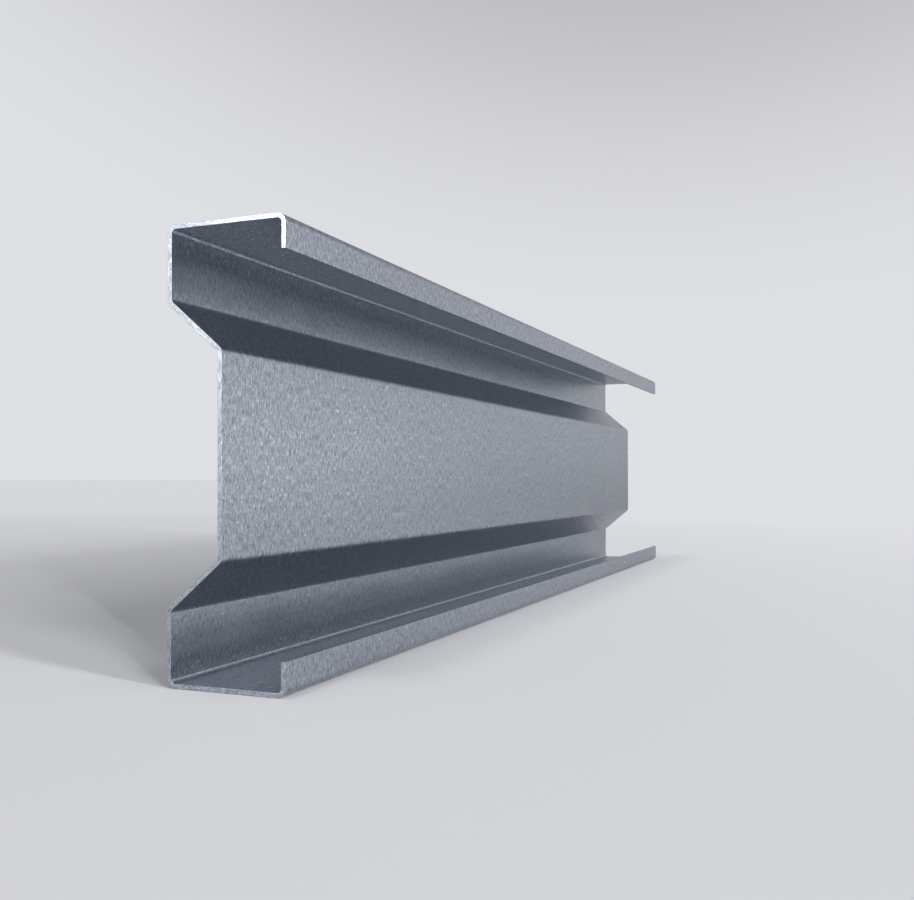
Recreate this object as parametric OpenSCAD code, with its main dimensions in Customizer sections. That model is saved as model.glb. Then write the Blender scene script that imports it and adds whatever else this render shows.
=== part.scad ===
// Cold-rolled sigma purlin: one strip of galvanised steel, folded along its length.
// The length runs along X, the web stands upright at the back and the open side faces -Y.
// The origin is on the underside, at the middle of the length and of the flange's width.

/* [Section] */
// Overall depth, over the outer faces of the two flanges
section_depth = 240; // [200:5:300]
// Width of each flange, from the outer face of its lip to the back of the web
flange_width = 71; // [60:1:90]
// Depth of the lip that stiffens the free edge of each flange
lip_depth = 18; // [14:1:24]

/* [Web] */
// Height of each outer band of the web, from the flange's outer face to the fold
outer_band = 41; // [32:1:50]
// Height that each sloping fold of the web takes up
fold_rise = 26.1; // [18:0.1:32]
// How far the middle band is set in from the outer bands, towards the lips
web_offset = 31; // [16:1:36]

/* [Strip] */
// Thickness of the steel strip
strip_thickness = 2.5; // [1.5:0.1:3.2]
// Inside radius of every bend
bend_radius = 2.5; // [1.5:0.5:4]
// Length that the section is cut to
cut_length = 935; // [300:5:2000]

/* [Hidden] */
$fn = 96;
zinc_grey = [0.60, 0.63, 0.68];

// The lower half of the section is a walk along the strip's outer face, from the edge
// of the lip to mid-depth. Each bend turns the walk to the left, or right if negative.
corner_turn = 90;
fold_turn = atan2(web_offset, fold_rise);
turns = [corner_turn, corner_turn, fold_turn, -fold_turn];

// Sizes of the walk's stretches, between the sharp corners that the bends round off.
half_middle_band = section_depth / 2 - outer_band - fold_rise;
stretches = [
    lip_depth,
    flange_width,
    outer_band,
    norm([web_offset, fold_rise]),
    half_middle_band
];

// Radius of a bend on the face that the walk follows: its outside on a left turn.
function walked_radius(turn) = turn > 0 ? bend_radius + strip_thickness : bend_radius;

// What a bend takes off the flat on each side of its sharp corner.
function setback(turn) = walked_radius(turn) * tan(abs(turn) / 2);

// What is left flat in each stretch, between its bends.
flats = [
    for (i = [0 : len(stretches) - 1])
        stretches[i]
            - (i > 0 ? setback(turns[i - 1]) : 0)
            - (i < len(turns) ? setback(turns[i]) : 0)
];

// Everything on one side of the line through the origin, within reach of it.
module side_of_line(side, reach) {
    translate([side > 0 ? 0 : -reach, -reach]) square([reach, 2 * reach]);
}

// A bend to the left, leaving the origin along +X, with its centre above.
module left_bend(turn) {
    outside_radius = bend_radius + strip_thickness;
    translate([0, outside_radius])
        intersection() {
            difference() {
                circle(r = outside_radius);
                circle(r = bend_radius);
            }
            side_of_line(1, 2 * outside_radius);
            rotate(turn) side_of_line(-1, 2 * outside_radius);
        }
}

// A bend either way. A right turn is a left one, mirrored about the strip's middle.
module bend(turn) {
    if (turn > 0)
        left_bend(turn);
    else
        translate([0, strip_thickness]) mirror([0, 1]) left_bend(-turn);
}

// Puts its children at the end of a bend, facing the way that the strip goes on.
module after_bend(turn) {
    to_centre = sign(turn) * walked_radius(turn);
    translate([0, to_centre]) rotate(turn) translate([0, -to_centre]) children();
}

// The strip from one stretch to the end of the walk: a flat, its bend and the rest.
// The last flat runs on by the strip's thickness, past mid-depth.
module strip(i) {
    if (i < len(turns)) {
        square([flats[i], strip_thickness]);
        translate([flats[i], 0]) {
            bend(turns[i]);
            after_bend(turns[i]) strip(i + 1);
        }
    } else {
        square([flats[i] + strip_thickness, strip_thickness]);
    }
}

// Lower half of the section, seen from its end: across the flange, and upwards.
module half_section() {
    translate([-flange_width / 2, lip_depth]) rotate(-corner_turn) strip(0);
}

// The section is the same above and below mid-depth, where its two halves fuse.
module section() {
    half_section();
    translate([0, section_depth]) mirror([0, 1]) half_section();
}

module purlin() {
    color(zinc_grey)
        rotate([90, 0, 90])
            linear_extrude(height = cut_length, center = true)
                section();
}

purlin();
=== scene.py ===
"""Sigma purlin: one strip of galvanised steel, folded along its length, in a pale studio.

The strip is a section profile carried along the purlin's length. Its zinc finish is
made of shader nodes, and follows the strip round its bends by the strip's own UV map.
Lengths are in metres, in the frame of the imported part: X runs along the purlin, the
open side faces -Y, and the purlin stands on its lower flange at Z = 0.
"""

import math

import bpy
import numpy as np
from bpy.props import FloatProperty, FloatVectorProperty, PointerProperty
from mathutils import Matrix, Vector


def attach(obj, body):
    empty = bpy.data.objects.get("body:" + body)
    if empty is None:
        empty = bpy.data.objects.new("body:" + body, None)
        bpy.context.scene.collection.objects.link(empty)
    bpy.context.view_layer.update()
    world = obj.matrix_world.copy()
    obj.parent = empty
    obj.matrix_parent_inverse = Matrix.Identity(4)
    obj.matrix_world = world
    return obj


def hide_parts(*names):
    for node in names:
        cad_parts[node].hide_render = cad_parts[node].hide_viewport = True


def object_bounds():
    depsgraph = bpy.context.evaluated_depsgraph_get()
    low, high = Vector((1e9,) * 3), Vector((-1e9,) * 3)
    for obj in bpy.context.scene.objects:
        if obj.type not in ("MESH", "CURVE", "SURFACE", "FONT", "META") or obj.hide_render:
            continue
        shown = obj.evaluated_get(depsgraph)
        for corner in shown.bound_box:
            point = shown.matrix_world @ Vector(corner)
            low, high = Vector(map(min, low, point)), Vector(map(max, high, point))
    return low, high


bl_info = {
    "name": "Sigma purlin",
    "version": (1, 0, 0),
    "blender": (4, 5, 0),
    "location": "3D View > Sidebar > Purlin",
    "description": "Builds a galvanised sigma purlin and a pale studio round it",
    "category": "Add Mesh",
}

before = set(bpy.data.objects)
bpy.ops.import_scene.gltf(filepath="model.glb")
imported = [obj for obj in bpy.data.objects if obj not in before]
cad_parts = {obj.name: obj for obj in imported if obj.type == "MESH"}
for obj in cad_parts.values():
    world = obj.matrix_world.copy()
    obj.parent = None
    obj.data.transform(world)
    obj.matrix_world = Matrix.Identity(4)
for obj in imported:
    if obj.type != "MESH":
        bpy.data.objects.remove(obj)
CAD_LOW, CAD_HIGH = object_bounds()
CAD_SIZE = CAD_HIGH - CAD_LOW

BODY = "root"
NODE = "purlin"

# The camera: sizes in pixels of the picture, angles in radians and place in metres
IMAGE_WIDTH = 914
FOCAL_PIXELS = 1015.09
LIFT_PIXELS = 18.38
SENSOR_WIDTH = 36.0
CAMERA_YAW = math.radians(22.082)
CAMERA_PITCH = math.radians(0.621)
CAMERA_ROLL = -0.0009
CAMERA_PLACE = (-0.89843, -0.30133, 0.10769)
CLIP_START, CLIP_END = 0.01, 2000.0

# The strip's UV map, where the inner face starts a little way on from the outer one
UV_MAP = "strip_metres"
INNER_FACE_GAP = 0.05

# The zinc: what each noise adds to the grain, the gloss and the tint
FLECK_SHARE = 0.5
PATCH_SHARE = 0.15
CURL_SHIFT, PATCH_SHIFT = 7.3, 3.1
GLOSS_BY_GRAIN, GLOSS_BY_CLOUD = 0.12, 0.10
LILAC = (1.006, 0.998, 1.006, 1.0)
GREEN = (0.984, 1.004, 0.994, 1.0)

# The floor: a gap keeps it from sharing a plane with the purlin's underside
FLOOR_RADIUS = 400.0
FLOOR_GAP = 0.0002
# Span along X over which the floor's colour is painted lighter towards the far end, painted
# light
PAINTED_LIGHT_SPAN = (-0.7, 0.6)
FADE_CENTRE = (-0.5, 1.1, 0.0)
FADE_REACH = (0.8, 2.8)
# Span over which the far floor turns to a darker colour behind the purlin, painted shade of
# its long shadow
PAINTED_SHADE_BEHIND = (0.1, 0.6)
OPENNESS_SAMPLES = 8
# Colour that the floor's painted contact shade is mixed towards
PAINTED_SHADE_BLACK = (0.0, 0.0, 0.0, 1.0)

# The backdrop's dark patch: azimuth, elevation, and the cosines where it starts and ends
PATCH_DIRECTION = (9.01, 56.58)
PATCH_SPAN = (0.533, 0.93)

# Each lamp's name and power property, azimuth and elevation in degrees, distance, width
# and height in metres, and whether it lights matt surfaces or else only metal mirrors it
LAMPS = (
    ("key_lamp", "key", 254.0, 14.0, 16.0, 1.8, 3.0, True),
    ("second_lamp", "second", 229.5, 16.0, 16.0, 0.2, 4.0, True),
    ("third_lamp", "third", 236.0, 27.0, 16.0, 3.2, 8.0, True),
    ("top_lamp", "top", 150.0, 72.0, 16.0, 2.4, 2.4, True),
    ("low_lamp", "low", 292.0, 1.15, 4.0, 0.8, 0.4, False),
    ("far_low_lamp", "far_low", 328.0, 1.15, 4.0, 0.8, 0.4, False),
    ("side_lamp", "side", 316.0, 20.0, 4.0, 0.8, 0.5, False),
    ("glint_lamp", "glint", 168.0, 24.0, 2.4, 1.4, 1.4, False),
)


# Sizes and colours that a user would change

def length_property(name, description, default):
    """A length of at least zero, in metres."""
    return FloatProperty(
        name=name, description=description, default=default,
        min=0.0, precision=5, unit="LENGTH",
    )


def colour_property(name, description, default):
    """A linear colour without alpha."""
    return FloatVectorProperty(
        name=name, description=description, default=default,
        size=3, min=0.0, max=1.0, subtype="COLOR",
    )


class SectionSizes(bpy.types.PropertyGroup):
    """Sizes of the section, between the sharp corners that its bends round off."""

    length: length_property(
        "Length", "Length that the section is cut to", CAD_SIZE.x)
    width: length_property(
        "Flange width", "From the lip's outer face to the back of the web", CAD_SIZE.y)
    depth: length_property(
        "Depth", "Over the outer faces of the two flanges", CAD_SIZE.z)
    lip: length_property(
        "Lip", "Depth of the lip on the free edge of each flange", 0.018)
    outer_band: length_property(
        "Outer band", "Height of each outer band of the web", 0.041)
    fold_rise: length_property(
        "Fold height", "Height that each sloping fold of the web takes up", 0.0261)
    web_offset: length_property(
        "Web offset", "How far the middle band is set in from the outer bands", 0.031)
    thickness: length_property(
        "Thickness", "Thickness of the steel strip", 0.0025)
    bend_radius: length_property(
        "Bend radius", "Inside radius of every bend", 0.0025)
    slit_edge: length_property(
        "Slit edge", "Rounding of the strip's two long edges", 0.0003)
    cut_edge: length_property(
        "Cut edge", "Rounding of the edges of the two cut ends", 0.00015)


class ZincFinish(bpy.types.PropertyGroup):
    """Colour, gloss and grain of the zinc coat."""

    light: colour_property(
        "Light zinc", "Colour of the zinc's light flecks", (0.640, 0.680, 0.745))
    dark: colour_property(
        "Dark zinc", "Colour of the zinc between its flecks", (0.225, 0.250, 0.295))
    fleck_width: length_property(
        "Fleck width", "Size of a fleck along the purlin", 0.0011)
    fleck_length: length_property(
        "Fleck length", "Size of a fleck round the section", 0.0032)
    fleck_height: length_property(
        "Fleck height", "How far a fleck stands out of the zinc", 0.00003)
    cloud_size: length_property(
        "Cloud size", "Size of the faint lilac and green clouds in the zinc", 0.045)
    gloss_blur: FloatProperty(
        name="Roughness", description="How blurred the zinc's reflections are",
        default=0.31, min=0.05, max=1.0)


class StudioLook(bpy.types.PropertyGroup):
    """Colours and lamp strengths of the studio."""

    # The floor's colour is painted lighter from the near end to the far end, painted light
    floor: colour_property(
        "Floor", "Colour of the floor at the purlin's near end", (0.719, 0.726, 0.748))
    painted_light_floor_beyond: colour_property(
        "Floor beyond", "Colour of the floor at the far end", (0.797, 0.805, 0.829))
    horizon: colour_property(
        "Horizon", "Colour of the backdrop at the horizon", (0.737, 0.747, 0.778))
    upper: colour_property(
        "Upper backdrop", "Colour of the backdrop's dark patch, high up",
        (0.439, 0.422, 0.452))
    # Darker colour of the far floor behind the purlin, painted shade of its long shadow
    painted_shade_far_floor: colour_property(
        "Far floor", "Colour of the floor far behind the purlin", (0.672, 0.680, 0.708))
    # Painted contact shade: how near the purlin, and how much, the floor's colour is
    # painted darker
    painted_shade_reach: length_property(
        "Contact reach", "How near the purlin the floor takes less light", 0.07)
    painted_contact_shade: FloatProperty(
        name="Contact shade", description="How much darker the floor is right at it",
        default=0.30, min=0.0, max=1.0)
    ambient: FloatProperty(
        name="Ambient", description="Strength of the backdrop's light on matt surfaces",
        default=0.40, min=0.0, max=1.0)
    mirrored_sky: FloatProperty(
        name="Mirrored sky", description="Strength of the backdrop as the zinc mirrors it",
        default=0.86, min=0.0, max=1.0)
    mirrored_floor: FloatProperty(
        name="Mirrored floor", description="The same for the floor far from the purlin",
        default=0.52, min=0.0, max=1.0)
    key: FloatProperty(
        name="Key lamp", description="Power of the low lamp on the open side, in watts",
        default=2200.0, min=0.0)
    second: FloatProperty(
        name="Second lamp", description="Power of the tall lamp by the camera, in watts",
        default=640.0, min=0.0)
    third: FloatProperty(
        name="Third lamp", description="Power of the higher lamp between them, in watts",
        default=1040.0, min=0.0)
    low: FloatProperty(
        name="Low lamp", description="Power of the lamp on the floor that the zinc mirrors",
        default=36.5, min=0.0)
    far_low: FloatProperty(
        name="Far low lamp", description="Power of the low lamp towards the far end",
        default=1.2, min=0.0)
    side: FloatProperty(
        name="Side lamp", description="Power of the raised lamp that the web mirrors",
        default=2.6, min=0.0)
    glint: FloatProperty(
        name="Glint lamp", description="Power of the lamp that the cut end mirrors",
        default=66.0, min=0.0)
    top: FloatProperty(
        name="Top lamp", description="Power of the lamp high behind the purlin",
        default=370.0, min=0.0)


# The section and the strip

def walk_strip(sizes, arc_steps=10, flat_step=0.008):
    """Outer face of the strip, from the lower lip's edge to the upper one's.

    The walk keeps the outer face on its right hand. Each stretch is a straight line
    shortened at its bends by radius * tan(turn / 2), and each bend is a circular arc
    tangent to both its stretches. Returns the points, the outward normals and the
    distance walked, one row each.
    """
    fold = math.atan2(sizes.web_offset, sizes.fold_rise)
    corner = math.pi / 2
    middle = sizes.depth - 2 * (sizes.outer_band + sizes.fold_rise)
    slope = math.hypot(sizes.web_offset, sizes.fold_rise)
    turns = np.array([corner, corner, fold, -fold, -fold, fold, corner, corner])
    runs = np.array([
        sizes.lip, sizes.width, sizes.outer_band, slope, middle,
        slope, sizes.outer_band, sizes.width, sizes.lip,
    ])
    radii = np.where(turns > 0, sizes.bend_radius + sizes.thickness, sizes.bend_radius)
    setbacks = radii * np.tan(np.abs(turns) / 2)
    flats = runs - np.append(0, setbacks) - np.append(setbacks, 0)
    headings = -corner + np.append(0, np.cumsum(turns))

    pieces = []
    start = np.array([-sizes.width / 2, sizes.lip])
    for index, flat in enumerate(flats):
        heading = headings[index]
        along = np.array([math.cos(heading), math.sin(heading)])
        outward = np.array([along[1], -along[0]])
        steps = max(1, math.ceil(flat / flat_step))
        distance = np.linspace(0, flat, steps + 1)[:, None]
        pieces.append((start + distance * along, np.repeat(outward[None], steps + 1, 0)))
        start = start + flat * along
        if index < len(turns):
            side = math.copysign(1, turns[index])
            centre = start - side * radii[index] * outward
            angle = heading + np.linspace(0, turns[index], arc_steps + 1)
            normal = np.stack([np.sin(angle), -np.cos(angle)], 1)
            arc = centre + side * radii[index] * normal
            pieces.append((arc[1:-1], normal[1:-1]))
            start = arc[-1]
    points = np.concatenate([p for p, _ in pieces])
    normals = np.concatenate([n for _, n in pieces])
    steps = np.linalg.norm(np.diff(points, axis=0), axis=1)
    return points, normals, np.append(0, np.cumsum(steps))


def half_profile(points, normals, walked, side, sizes, steps=4):
    """One face of the strip with the rounding of its two slit edges.

    The face lies half a thickness from the strip's middle, to the given side. At both
    ends the last point moves in by the edge's radius, and a quarter circle turns the
    normal from the face's to the edge's. Returns points, normals and distances.
    """
    radius = sizes.slit_edge
    middle = points - normals * (sizes.thickness / 2)
    face = middle + side * normals * (sizes.thickness / 2)
    outward = side * normals
    quarter = np.linspace(0, math.pi / 2, steps + 1)[:, None]

    def rounding(end, away):
        """Quarter circle from the face's end towards the edge's own direction."""
        centre = face[end] - outward[end] * radius - away * radius
        normal = np.cos(quarter) * outward[end] + np.sin(quarter) * away
        return centre + radius * normal, normal, radius * quarter[:, 0]

    first_away = np.array([normals[0][1], -normals[0][0]])
    last_away = np.array([-normals[-1][1], normals[-1][0]])
    start_points, start_normals, start_walked = rounding(0, first_away)
    end_points, end_normals, end_walked = rounding(-1, last_away)
    return (
        np.concatenate([start_points[::-1], face[1:-1], end_points]),
        np.concatenate([start_normals[::-1], outward[1:-1], end_normals]),
        np.concatenate([
            -start_walked[::-1], walked[1:-1], walked[-1] + end_walked]),
    )


def strip_mesh(sizes, arc_steps=10, station_step=0.012, edge_steps=3):
    """The whole strip as one closed mesh with exact normals and a UV map.

    The closed profile, the outer face followed by the inner one walked back, is carried
    along X. Towards each cut end its points sink along their own normals by
    radius * (1 - cos(angle)) while X gains radius * sin(angle), which rounds the cut
    edge. Across each end a ladder of quads joins the two faces. The UV map holds metres:
    U along the purlin, or across the strip's thickness on a cut end, and V round the
    section.
    """
    points, normals, walked = walk_strip(sizes, arc_steps)
    outer = half_profile(points, normals, walked, 1, sizes)
    inner = half_profile(points, normals, walked, -1, sizes)
    profile = np.concatenate([outer[0], inner[0][::-1]])
    facing = np.concatenate([outer[1], inner[1][::-1]])
    inner_shift = walked[-1] + INNER_FACE_GAP
    around = np.concatenate([outer[2], inner[2][::-1] + inner_shift])
    count = len(profile)
    half = count // 2

    radius = sizes.cut_edge
    reach = sizes.length / 2 - radius
    body = np.linspace(-reach, reach, math.ceil(2 * reach / station_step) + 1)
    angle = np.linspace(math.pi / 2, 0, edge_steps + 1)[:-1]
    near_x, near_sink = -reach - radius * np.sin(angle), radius * (1 - np.cos(angle))
    stations = np.concatenate([near_x, body, -near_x[::-1]])
    sink = np.concatenate([near_sink, np.zeros(len(body)), near_sink[::-1]])
    tilt = np.concatenate([-angle, np.zeros(len(body)), angle[::-1]])
    rings = len(stations)

    across = profile[None] - sink[:, None, None] * facing[None]
    position = np.concatenate([
        np.broadcast_to(stations[:, None, None], (rings, count, 1)), across], 2)
    normal = np.concatenate([
        np.broadcast_to(np.sin(tilt)[:, None, None], (rings, count, 1)),
        np.cos(tilt)[:, None, None] * facing[None],
    ], 2)

    ring, step = np.meshgrid(np.arange(rings - 1), np.arange(count), indexing="ij")
    after = (step + 1) % count
    sides = np.stack([
        ring * count + step, ring * count + after,
        (ring + 1) * count + after, (ring + 1) * count + step,
    ], -1).reshape(-1, 4)
    side_u = stations[np.stack([ring, ring, ring + 1, ring + 1], -1)].reshape(-1, 4)
    side_v = around[np.stack([step, after, after, step], -1)].reshape(-1, 4)

    rung = np.arange(half - 1)
    ladder = np.stack([rung, rung + 1, count - 2 - rung, count - 1 - rung], 1)
    cap_u = np.tile([0.0, 0.0, sizes.thickness, sizes.thickness], (half - 1, 1))
    cap_v = around[ladder[:, [0, 1, 1, 0]]]
    last = (rings - 1) * count
    near_cap = ladder[:, ::-1]
    far_cap = ladder + last

    faces = np.concatenate([sides, near_cap, far_cap])
    uv = np.stack([
        np.concatenate([side_u, cap_u[:, ::-1], cap_u + sizes.length]).ravel(),
        np.concatenate([side_v, cap_v[:, ::-1], cap_v]).ravel(),
    ], 1)

    mesh = bpy.data.meshes.new("sigma_strip")
    mesh.from_pydata(position.reshape(-1, 3), [], faces.tolist())
    layer = mesh.uv_layers.new(name=UV_MAP)
    layer.data.foreach_set("uv", uv.astype(np.float32).ravel())
    mesh.polygons.foreach_set("use_smooth", np.ones(len(faces), bool))
    mesh.update()
    mesh.validate()
    mesh.normals_split_custom_set_from_vertices(normal.reshape(-1, 3))
    return mesh


# Shader nodes as Python expressions

class Wire:
    """A socket that gives a number. Python's operators on it add Math nodes."""

    def __init__(self, graph, socket):
        self.graph = graph
        self.socket = socket

    def __add__(self, other):
        return self.graph.maths("ADD", self, other)

    __radd__ = __add__

    def __sub__(self, other):
        return self.graph.maths("SUBTRACT", self, other)

    def __rsub__(self, other):
        return self.graph.maths("SUBTRACT", other, self)

    def __mul__(self, other):
        return self.graph.maths("MULTIPLY", self, other)

    __rmul__ = __mul__

    def __truediv__(self, other):
        return self.graph.maths("DIVIDE", self, other)

    def ease(self, low, high):
        """Rises smoothly from 0 at low to 1 at high."""
        return self.graph.add(
            "ShaderNodeMapRange", {"interpolation_type": "SMOOTHSTEP"},
            {"Value": self, "From Min": low, "From Max": high})


class Graph:
    """Adds nodes to a node tree."""

    def __init__(self, tree):
        self.tree = tree
        tree.nodes.clear()

    def add(self, kind, settings=None, values=None, output=0):
        """Adds a node, sets its settings, then its sockets, and returns an output."""
        node = self.tree.nodes.new(kind)
        for name, value in (settings or {}).items():
            setattr(node, name, value)
        for key, value in (values or {}).items():
            socket = node.inputs[key]
            if isinstance(value, Wire):
                self.tree.links.new(value.socket, socket)
            else:
                socket.default_value = value
        return Wire(self, node.outputs[output]) if len(node.outputs) else node

    def mix_colours(self, factor, first, second):
        """Goes from the first colour to the second as the factor goes from 0 to 1."""
        return self.add(
            "ShaderNodeMix", {"data_type": "RGBA"},
            {"Factor": factor, 6: first, 7: second}, output=2)

    def noise(self, place, detail=2.0, roughness=0.5):
        """Smooth noise of one cycle per unit, around 0.5."""
        return self.add(
            "ShaderNodeTexNoise", {"noise_dimensions": "2D"},
            {"Vector": place, "Scale": 1.0, "Detail": detail, "Roughness": roughness})

    def vector(self, x, y, z=0.0):
        """A vector of three numbers."""
        return self.add("ShaderNodeCombineXYZ", None, {"X": x, "Y": y, "Z": z})

    def maths(self, operation, *values):
        """A Math node that takes the given values in order."""
        return self.add("ShaderNodeMath", {"operation": operation}, dict(enumerate(values)))

    def dot(self, first, second):
        """Dot product of two vectors."""
        return self.add(
            "ShaderNodeVectorMath", {"operation": "DOT_PRODUCT"},
            {0: first, 1: second}, output=1)


def rgba(colour):
    """A colour property as a socket's default, with full alpha."""
    return (*colour, 1.0)


def zinc_material(finish):
    """Galvanised strip: fine wavy flecks that run round the section.

    The flecks are noise on the strip's own UV map, squeezed along the purlin and
    stretched round the section, and pushed sideways by slower noise so that they waver.
    Coarser noise gathers them in faint patches. They lighten the zinc, sharpen its gloss
    and stand out of it a little, and much larger clouds tint it lilac and green.
    """
    material = bpy.data.materials.new("galvanised_zinc")
    material.use_nodes = True
    graph = Graph(material.node_tree)

    uv = graph.add("ShaderNodeUVMap", {"uv_map": UV_MAP})
    split = graph.tree.nodes.new("ShaderNodeSeparateXYZ")
    graph.tree.links.new(uv.socket, split.inputs[0])
    along = Wire(graph, split.outputs[0])
    round_section = Wire(graph, split.outputs[1])

    width, length = finish.fleck_width, finish.fleck_length
    waver = graph.noise(
        graph.vector(along / (2.2 * width), round_section / (0.8 * length)), 1.0)
    place = along + (waver - 0.5) * (2.2 * width)
    streaks = graph.noise(
        graph.vector(place / (0.8 * width), round_section / (1.6 * length)), 1.0)
    curls = graph.noise(
        graph.vector(place / width + CURL_SHIFT, round_section / (0.8 * length)), 2.0, 0.6)
    patches = graph.noise(
        graph.vector(
            place / (3.0 * width) + PATCH_SHIFT, round_section / (2.5 * length)), 1.0)
    grain = (
        streaks.ease(0.25, 0.75) * FLECK_SHARE + curls.ease(0.48, 0.74) * FLECK_SHARE
        + (patches - 0.5) * PATCH_SHARE)

    cloud = graph.noise(
        graph.vector(
            along / finish.cloud_size, round_section / (1.4 * finish.cloud_size)), 2.0)
    zinc = graph.mix_colours(grain, rgba(finish.dark), rgba(finish.light))
    tint = graph.mix_colours(cloud.ease(0.35, 0.65), LILAC, GREEN)
    colour = graph.add(
        "ShaderNodeMix", {"data_type": "RGBA", "blend_type": "MULTIPLY"},
        {"Factor": 1.0, 6: zinc, 7: tint}, output=2)

    roughness = (
        finish.gloss_blur + (0.5 - grain) * GLOSS_BY_GRAIN + (cloud - 0.5) * GLOSS_BY_CLOUD)
    bump = graph.add(
        "ShaderNodeBump", None,
        {"Strength": 1.0, "Distance": finish.fleck_height, "Height": grain})
    shader = graph.add(
        "ShaderNodeBsdfPrincipled", None,
        {"Base Color": colour, "Metallic": 1.0, "Roughness": roughness, "Normal": bump})
    graph.add("ShaderNodeOutputMaterial", None, {"Surface": shader})
    return material


# The studio

def floor_mesh(radius, rings=40, sectors=96):
    """A level disc round the origin: ring k lies at radius * (k / rings) ** 4."""
    reach = radius * (np.arange(1, rings + 1) / rings) ** 4
    angle = np.linspace(0, 2 * math.pi, sectors, endpoint=False)
    circle = np.stack([np.cos(angle), np.sin(angle), np.zeros(sectors)], 1)
    points = np.concatenate([[[0, 0, 0]], (reach[:, None, None] * circle).reshape(-1, 3)])
    ring, step = np.meshgrid(np.arange(rings - 1), np.arange(sectors), indexing="ij")
    after = (step + 1) % sectors
    quads = 1 + np.stack([
        ring * sectors + step, (ring + 1) * sectors + step,
        (ring + 1) * sectors + after, ring * sectors + after,
    ], -1).reshape(-1, 4)
    sector = np.arange(sectors)
    middle = np.stack([
        np.zeros(sectors, int), 1 + sector, 1 + (sector + 1) % sectors], 1)
    mesh = bpy.data.meshes.new("floor")
    mesh.from_pydata(points, [], middle.tolist() + quads.tolist())
    mesh.update()
    return mesh


def backdrop_strength(graph, look, mirrored):
    """Full strength to the camera, and its own share to matt and to mirroring surfaces."""
    rays = graph.tree.nodes.new("ShaderNodeLightPath")
    seen = Wire(graph, rays.outputs["Is Camera Ray"])
    glossy = Wire(graph, rays.outputs["Is Glossy Ray"])
    return (
        look.ambient + seen * (1.0 - look.ambient)
        + glossy * (mirrored - look.ambient))


def floor_material(look):
    """A matt floor with painted contact shade close to the purlin, that fades to plain
    colour far away.

    Near the purlin the colour is painted lighter from the near end to the far one, which is
    painted light, and where the ambient occlusion is strong it is painted darker, which is
    painted contact shade.
    With distance a light of the far colour takes over, which is the backdrop's own in front
    and the far floor's darker one behind, painted shade of the purlin's long shadow.
    """
    material = bpy.data.materials.new("pale_floor")
    material.use_nodes = True
    graph = Graph(material.node_tree)
    place = graph.add("ShaderNodeTexCoord", None, None, output=3)
    spot = graph.add(
        "ShaderNodeVectorMath", {"operation": "SUBTRACT"}, {0: place, 1: FADE_CENTRE})
    distance = graph.add(
        "ShaderNodeVectorMath", {"operation": "LENGTH"}, {0: spot}, output=1)
    behind = graph.dot(place, (0.0, 1.0, 0.0)) / distance
    # The far floor glows darker behind the purlin, painted shade of its long shadow
    far_colour = graph.mix_colours(
        behind.ease(*PAINTED_SHADE_BEHIND), rgba(look.horizon), rgba(look.painted_shade_far_floor))
    # Painted light: the floor's colour is lighter towards the far end
    along = graph.dot(place, (1.0, 0.0, 0.0))
    painted_floor_colour = graph.mix_colours(
        along.ease(*PAINTED_LIGHT_SPAN), rgba(look.floor), rgba(look.painted_light_floor_beyond))
    # Painted contact shade: the colour is mixed towards black where the ambient occlusion
    # finds the purlin close
    openness = graph.add(
        "ShaderNodeAmbientOcclusion", {"samples": OPENNESS_SAMPLES},
        {"Distance": look.painted_shade_reach},
        output=1)
    painted_floor_colour = graph.mix_colours(
        (1 - openness) * look.painted_contact_shade, painted_floor_colour, PAINTED_SHADE_BLACK)
    matt = graph.add(
        "ShaderNodeBsdfDiffuse", None, {"Color": painted_floor_colour, "Roughness": 0.0})
    strength = backdrop_strength(graph, look, look.mirrored_floor)
    far = graph.add(
        "ShaderNodeEmission", None, {"Color": far_colour, "Strength": strength})
    mixed = graph.add(
        "ShaderNodeMixShader", None, {0: distance.ease(*FADE_REACH), 1: matt, 2: far})
    graph.add("ShaderNodeOutputMaterial", None, {"Surface": mixed})
    return material


def studio_world(look, dark_direction):
    """A backdrop that is plain at the horizon and darkens towards one high patch."""
    world = bpy.data.worlds.new("studio")
    world.use_nodes = True
    graph = Graph(world.node_tree)
    direction = graph.add("ShaderNodeTexCoord", None, None, output=0)
    nearness = graph.dot(direction, dark_direction).ease(*PATCH_SPAN)
    colour = graph.mix_colours(
        nearness * nearness * nearness, rgba(look.horizon), rgba(look.upper))
    shader = graph.add(
        "ShaderNodeBackground", None,
        {"Color": colour, "Strength": backdrop_strength(graph, look, look.mirrored_sky)})
    graph.add("ShaderNodeOutputWorld", None, {"Surface": shader})
    return world


def direction_of(azimuth, elevation):
    """Unit vector at an azimuth from +X towards +Y and an elevation, in degrees."""
    a, e = math.radians(azimuth), math.radians(elevation)
    return Vector((math.cos(a) * math.cos(e), math.sin(a) * math.cos(e), math.sin(e)))


def add_lamp(
        name, power, azimuth, elevation, distance, width, height, matt, aim):
    """A rectangular lamp at a direction and a distance from its aim, facing it.

    It either lights matt surfaces or is mirrored by metal, and the camera sees neither.
    """
    data = bpy.data.lights.new(name, "AREA")
    data.shape = "RECTANGLE"
    data.size, data.size_y = width, height
    data.energy = power
    lamp = bpy.data.objects.new(name, data)
    towards = direction_of(azimuth, elevation)
    lamp.location = aim + towards * distance
    lamp.rotation_mode = "QUATERNION"
    lamp.rotation_quaternion = towards.to_track_quat("Z", "Y")
    lamp.visible_diffuse, lamp.visible_glossy = matt, not matt
    lamp.visible_camera = False
    bpy.context.scene.collection.objects.link(lamp)
    return lamp


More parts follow.
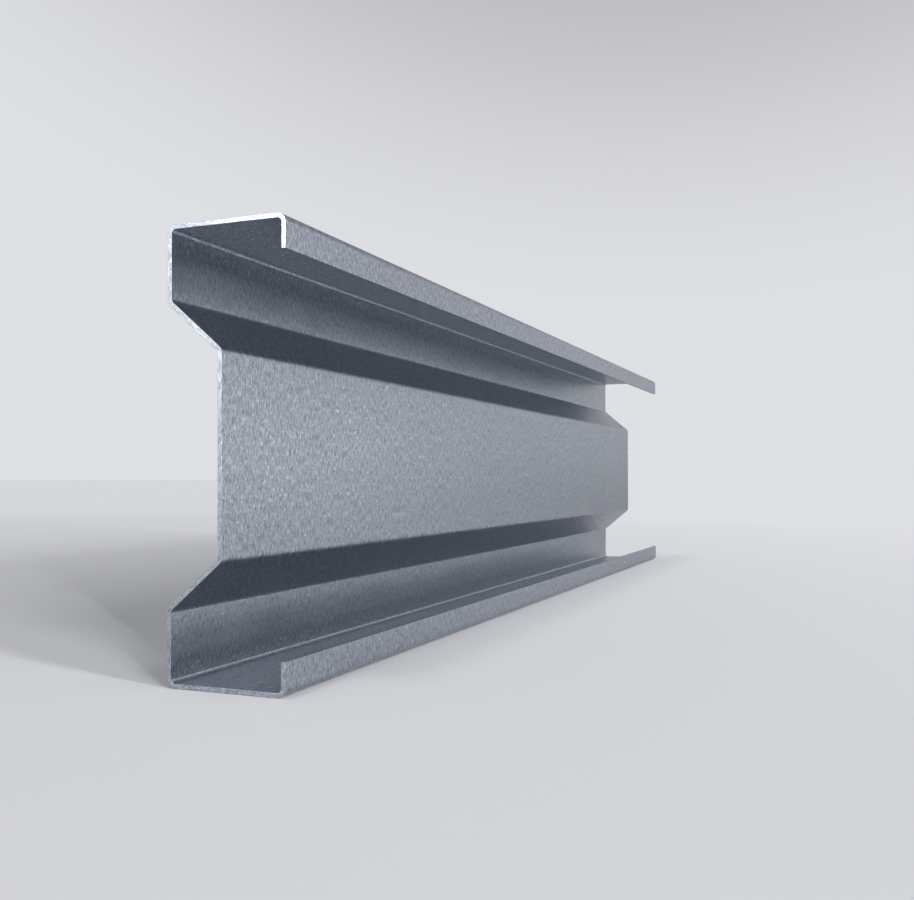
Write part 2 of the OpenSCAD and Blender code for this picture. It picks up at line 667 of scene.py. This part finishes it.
def add_camera():
    """The photograph's camera, solved from the section's corners at both ends."""
    forward = Vector((
        math.cos(CAMERA_YAW) * math.cos(CAMERA_PITCH),
        math.sin(CAMERA_YAW) * math.cos(CAMERA_PITCH),
        math.sin(CAMERA_PITCH)))
    level = Vector((math.sin(CAMERA_YAW), -math.cos(CAMERA_YAW), 0.0))
    above = level.cross(forward)
    right = math.cos(CAMERA_ROLL) * level + math.sin(CAMERA_ROLL) * above
    up = right.cross(forward)
    data = bpy.data.cameras.new("camera")
    data.sensor_width = SENSOR_WIDTH
    data.lens = FOCAL_PIXELS * SENSOR_WIDTH / IMAGE_WIDTH
    data.shift_y = LIFT_PIXELS / IMAGE_WIDTH
    data.clip_start, data.clip_end = CLIP_START, CLIP_END
    camera = bpy.data.objects.new("camera", data)
    turned = Matrix((right, up, -forward)).transposed().to_4x4()
    camera.matrix_world = Matrix.Translation(CAMERA_PLACE) @ turned
    bpy.context.scene.collection.objects.link(camera)
    bpy.context.scene.camera = camera
    return camera


# Operators, panel and registration

class PURLIN_OT_strip(bpy.types.Operator):
    """Build the folded strip with its zinc finish."""

    bl_idname = "purlin.strip"
    bl_label = "Purlin strip"

    def execute(self, context):
        scene = context.scene
        mesh = strip_mesh(scene.purlin_sizes)
        mesh.materials.append(zinc_material(scene.purlin_finish))
        strip = bpy.data.objects.new("sigma_strip", mesh)
        scene.collection.objects.link(strip)
        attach(strip, BODY)
        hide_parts(NODE)
        return {"FINISHED"}


class PURLIN_OT_studio(bpy.types.Operator):
    """Build the floor, backdrop, lamps and camera."""

    bl_idname = "purlin.studio"
    bl_label = "Studio"

    def execute(self, context):
        scene = context.scene
        look = scene.purlin_studio
        mesh = floor_mesh(FLOOR_RADIUS)
        mesh.materials.append(floor_material(look))
        floor = bpy.data.objects.new("studio_floor", mesh)
        floor.location.z = CAD_LOW.z - FLOOR_GAP
        scene.collection.objects.link(floor)

        scene.world = studio_world(look, direction_of(*PATCH_DIRECTION))
        centre = Vector((CAD_LOW.x, 0.0, CAD_SIZE.z / 2))
        for name, power, *placing in LAMPS:
            add_lamp(name, getattr(look, power), *placing, centre)
        add_camera()
        scene.view_settings.view_transform = "Standard"
        return {"FINISHED"}


class PURLIN_PT_sidebar(bpy.types.Panel):
    """Lists the operators and the sizes."""

    bl_idname = "PURLIN_PT_sidebar"
    bl_label = "Purlin"
    bl_space_type = "VIEW_3D"
    bl_region_type = "UI"
    bl_category = "Purlin"

    def draw(self, context):
        scene = context.scene
        for operator in OPERATORS:
            self.layout.operator(operator.bl_idname)
        for group in (scene.purlin_sizes, scene.purlin_finish, scene.purlin_studio):
            box = self.layout.box()
            for name in group.__annotations__:
                box.prop(group, name)


OPERATORS = (PURLIN_OT_strip, PURLIN_OT_studio)
GROUPS = {
    "purlin_sizes": SectionSizes,
    "purlin_finish": ZincFinish,
    "purlin_studio": StudioLook,
}


def register():
    """Registers every class, and puts the property groups on the scene."""
    for cls in (*GROUPS.values(), *OPERATORS, PURLIN_PT_sidebar):
        bpy.utils.register_class(cls)
    for name, group in GROUPS.items():
        setattr(bpy.types.Scene, name, PointerProperty(type=group))


def unregister():
    """Takes the property groups off the scene, and the classes out."""
    for name in GROUPS:
        delattr(bpy.types.Scene, name)
    for cls in (PURLIN_PT_sidebar, *OPERATORS, *GROUPS.values()):
        bpy.utils.unregister_class(cls)


def main():
    register()
    bpy.ops.purlin.strip()
    bpy.ops.purlin.studio()


if __name__ == "__main__":
    main()
